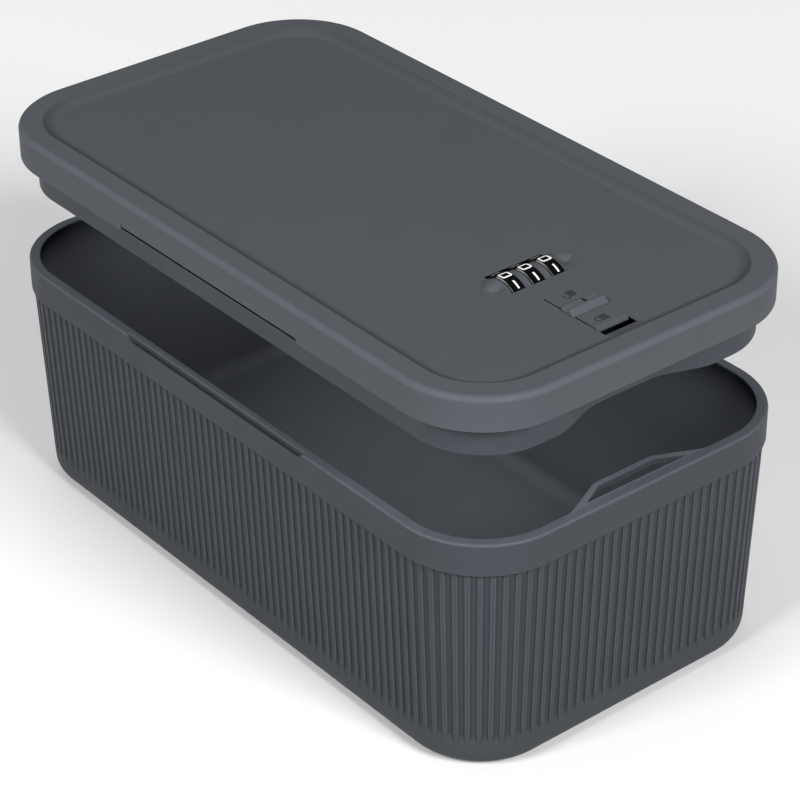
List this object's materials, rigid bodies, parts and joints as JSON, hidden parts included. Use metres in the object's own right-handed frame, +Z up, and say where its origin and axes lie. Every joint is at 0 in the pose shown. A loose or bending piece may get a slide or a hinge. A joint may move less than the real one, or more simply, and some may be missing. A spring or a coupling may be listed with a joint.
{
  "type": "medication lock box",
  "caption": "Tapered ribbed storage box with a dished lift-off lid, a thumb-wheel combination lock and a sliding latch that catches a keeper at the box's front.",
  "frame": {"origin": "centre of the tub's flat bottom face", "axes": "+Z up, +Y along the box away from the lock, +X to the right seen from the lock's end"},
  "size_m": [0.165, 0.3, 0.1625],
  "materials": {
    "tub_plastic": "fine matte texture, slate grey",
    "lid_plastic": "fine matte texture, slate grey",
    "liner_plastic": "fine matte texture, slate grey",
    "lock_plastic": "matte",
    "dial_plastic": "polished black with white numerals",
    "hub_plastic": "natural acetal",
    "steel": "zinc-plated",
    "spring_steel": "bright drawn"
  },
  "bodies": {
    "tub": {"base_tub": "tub_plastic"},
    "lid": {"lid_shell": "lid_plastic", "lid_liner": "liner_plastic", "lock_housing": "lock_plastic", "track_plate": "lock_plastic", "lock_cover": "liner_plastic", "dial_spindle": "steel", "spindle_clip": "spring_steel", "spindle_spring": "spring_steel", "detent_spring": "spring_steel", "liner_screw_1": "steel", "liner_screw_2": "steel", "liner_screw_3": "steel", "liner_screw_4": "steel", "liner_screw_5": "steel", "liner_screw_6": "steel", "cover_screw_1": "steel", "cover_screw_2": "steel", "cover_screw_3": "steel", "cover_screw_4": "steel", "housing_screw_1": "steel", "housing_screw_2": "steel", "housing_screw_3": "steel", "housing_screw_4": "steel", "track_screw_1": "steel", "track_screw_2": "steel"},
    "dial_1": {"dial_wheel_1": "dial_plastic", "code_hub_1": "hub_plastic"},
    "dial_2": {"dial_wheel_2": "dial_plastic", "code_hub_2": "hub_plastic"},
    "dial_3": {"dial_wheel_3": "dial_plastic", "code_hub_3": "hub_plastic"},
    "latch": {"slider_button": "lid_plastic", "latch_bolt": "lock_plastic", "fence_comb": "steel", "slider_screw": "steel"},
    "code_change": {"code_change_button": "hub_plastic"}
  },
  "joints": [
    {"name": "lid_lift", "type": "slide", "parent": "tub", "child": "lid", "axis": [0, 0, 1], "range_m": [-0.0457, 0.06]},
    {"name": "dial_1_turn", "type": "hinge", "parent": "lid", "child": "dial_1", "pos_m": [-0.0095, -0.0836, 0.15086], "axis": [1, 0, 0], "continuous": true},
    {"name": "dial_2_turn", "type": "hinge", "parent": "lid", "child": "dial_2", "pos_m": [0, -0.0836, 0.15086], "axis": [1, 0, 0], "continuous": true},
    {"name": "dial_3_turn", "type": "hinge", "parent": "lid", "child": "dial_3", "pos_m": [0.0095, -0.0836, 0.15086], "axis": [1, 0, 0], "continuous": true},
    {"name": "latch_slide", "type": "slide", "parent": "lid", "child": "latch", "axis": [0, -1, 0], "range_m": [0, 0.0045]},
    {"name": "code_change_slide", "type": "slide", "parent": "lid", "child": "code_change", "axis": [1, 0, 0], "range_m": [0, 0.003]}
  ]
}
